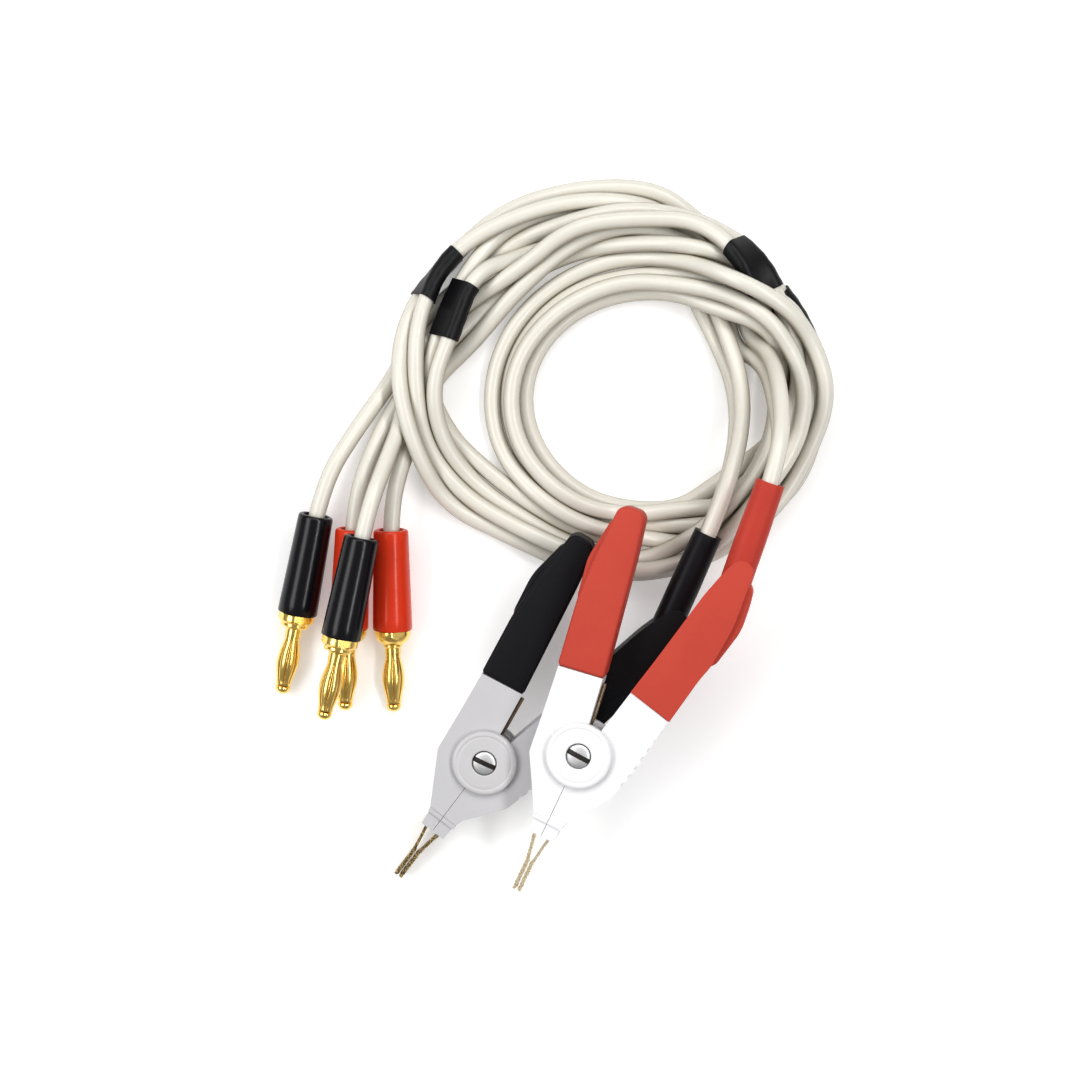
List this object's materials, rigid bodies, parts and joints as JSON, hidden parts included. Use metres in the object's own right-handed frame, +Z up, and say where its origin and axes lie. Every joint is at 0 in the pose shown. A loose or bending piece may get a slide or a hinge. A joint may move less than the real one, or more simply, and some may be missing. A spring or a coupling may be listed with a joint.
{
  "type": "kelvin test lead set",
  "caption": "Set of four-wire test leads for a component tester: spring clips with gold toothed jaws, coiled ivory leads and 4 mm banana plugs.",
  "frame": {"origin": "on the table, under the middle of the two clips", "axes": "+Z up from the table; +Y from the clips to the coil; +X to the right, with the plugs on the left"},
  "size_m": [0.1365, 0.1716, 0.0361],
  "materials": {
    "red_body": "satin white moulded plastic",
    "black_body": "satin light grey moulded plastic",
    "red_cap": "satin white moulded plastic",
    "black_cap": "satin light grey moulded plastic",
    "gold": "gold plated, polished",
    "steel": "plated steel",
    "spring_steel": "bronzed spring wire",
    "red_pvc": "matte red PVC",
    "black_pvc": "matte black PVC",
    "red_boot": "matte red PVC",
    "black_boot": "matte black PVC",
    "inner_wire": "thin silicone insulation",
    "red_sleeve": "glossy red moulded plastic",
    "black_sleeve": "glossy black moulded plastic",
    "lead_jacket": "satin ivory silicone jacket",
    "shrink": "satin black heat-shrink tube"
  },
  "bodies": {
    "lead_set": {"black_cable_boot": "black_boot", "black_fixed_contact": "gold", "black_fixed_grip": "black_pvc", "black_fixed_half": "black_body", "black_fixed_inner_wire": "inner_wire", "black_left_plug_clamp_screw": "steel", "black_left_plug_core": "gold", "black_left_plug_lantern": "gold", "black_left_plug_lead": "lead_jacket", "black_lower_cap": "black_cap", "black_lower_clip_lead": "lead_jacket", "black_pivot_nut": "steel", "black_pivot_screw": "steel", "black_right_plug_clamp_screw": "steel", "black_right_plug_core": "gold", "black_right_plug_lantern": "gold", "black_right_plug_lead": "lead_jacket", "black_torsion_spring": "spring_steel", "black_upper_cap": "black_cap", "black_upper_clip_lead": "lead_jacket", "lead_coil": "lead_jacket", "red_cable_boot": "red_boot", "red_fixed_contact": "gold", "red_fixed_grip": "red_pvc", "red_fixed_half": "red_body", "red_fixed_inner_wire": "inner_wire", "red_left_plug_clamp_screw": "steel", "red_left_plug_core": "gold", "red_left_plug_lantern": "gold", "red_left_plug_lead": "lead_jacket", "red_lower_cap": "red_cap", "red_lower_clip_lead": "lead_jacket", "red_pivot_nut": "steel", "red_pivot_screw": "steel", "red_right_plug_clamp_screw": "steel", "red_right_plug_core": "gold", "red_right_plug_lantern": "gold", "red_right_plug_lead": "lead_jacket", "red_torsion_spring": "spring_steel", "red_upper_cap": "red_cap", "red_upper_clip_lead": "lead_jacket", "shrink_left_inner": "shrink", "shrink_left_outer": "shrink", "shrink_right_lower": "shrink", "shrink_right_upper": "shrink"},
    "red_moving_jaw": {"red_moving_half": "red_body", "red_moving_contact": "gold", "red_moving_grip": "red_pvc", "red_moving_inner_wire": "inner_wire"},
    "black_moving_jaw": {"black_moving_half": "black_body", "black_moving_contact": "gold", "black_moving_grip": "black_pvc", "black_moving_inner_wire": "inner_wire"},
    "black_left_sleeve": {"black_left_plug_sleeve": "black_sleeve"},
    "black_right_sleeve": {"black_right_plug_sleeve": "black_sleeve"},
    "red_left_sleeve": {"red_left_plug_sleeve": "red_sleeve"},
    "red_right_sleeve": {"red_right_plug_sleeve": "red_sleeve"}
  },
  "joints": [
    {"name": "red_clip_open", "type": "hinge", "parent": "lead_set", "child": "red_moving_jaw", "pos_m": [-0.001, -0.016, 0.0219], "axis": [0.1387, 0.05, -0.9891], "range_deg": [0, 18], "stiffness_Nm_per_rad": 0.8, "springref_deg": -17.19, "deforming": ["red_torsion_spring"]},
    {"name": "black_clip_open", "type": "hinge", "parent": "lead_set", "child": "black_moving_jaw", "pos_m": [-0.0241, -0.0188, 0.00735], "axis": [0.0786, 0.1042, -0.9914], "range_deg": [0, 18], "stiffness_Nm_per_rad": 0.8, "springref_deg": -17.19, "deforming": ["black_torsion_spring"]},
    {"name": "black_left_sleeve_back", "type": "slide", "parent": "lead_set", "child": "black_left_sleeve", "axis": [0.2023, 0.9681, 0.1478], "range_m": [0, 0.005]},
    {"name": "black_right_sleeve_back", "type": "slide", "parent": "lead_set", "child": "black_right_sleeve", "axis": [0.2139, 0.973, 0.0872], "range_m": [0, 0.005]},
    {"name": "red_left_sleeve_back", "type": "slide", "parent": "lead_set", "child": "red_left_sleeve", "axis": [0.0552, 0.9875, 0.1478], "range_m": [0, 0.005]},
    {"name": "red_right_sleeve_back", "type": "slide", "parent": "lead_set", "child": "red_right_sleeve", "axis": [-0.0069, 0.989, 0.1478], "range_m": [0, 0.005]}
  ]
}
